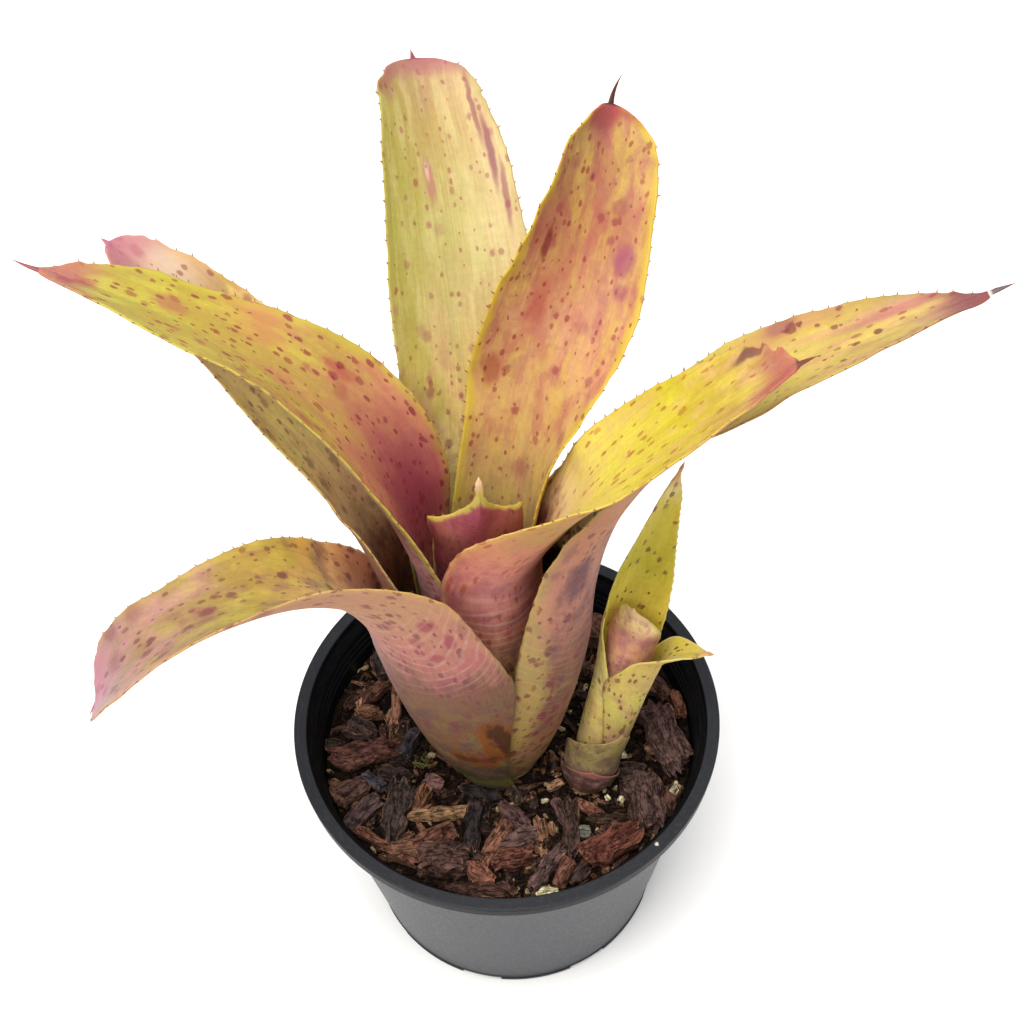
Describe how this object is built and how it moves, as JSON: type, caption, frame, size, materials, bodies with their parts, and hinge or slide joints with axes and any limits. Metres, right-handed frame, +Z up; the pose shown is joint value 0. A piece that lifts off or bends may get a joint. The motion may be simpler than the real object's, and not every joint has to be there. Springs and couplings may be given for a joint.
{
  "type": "potted neoregelia bromeliad",
  "caption": "Neoregelia bromeliad with a spiny vase of arching strap leaves and a small pup, planted in bark mix in a tapered plastic nursery pot.",
  "frame": {"origin": "centre of the pot's flat underside, on the surface that it stands on", "axes": "+Z up; the plant's front, with the arching leaf to the left and the pup to the right, faces -Y; +X to the viewer's right"},
  "size_m": [0.2802, 0.1857, 0.3216],
  "materials": {
    "pot_plastic": "satin",
    "bark_mix": "rough",
    "stem_wood": "rough",
    "leaf_blade": "satin",
    "young_leaf": "satin",
    "pup_leaf": "satin",
    "pup_bract": "matte"
  },
  "bodies": {
    "root": {"pot": "pot_plastic", "potting_mix": "bark_mix", "stem": "stem_wood", "leaf_front_left": "leaf_blade", "leaf_right": "leaf_blade", "leaf_back_left": "leaf_blade", "leaf_front_right": "leaf_blade", "leaf_back": "leaf_blade", "leaf_left": "leaf_blade", "leaf_back_right": "leaf_blade", "leaf_centre": "young_leaf", "pup_bract_lower": "pup_bract", "pup_bract_upper": "pup_bract", "pup_leaf_front": "pup_leaf", "pup_leaf_tall": "pup_leaf", "pup_leaf_inner": "young_leaf"}
  },
  "joints": []
}
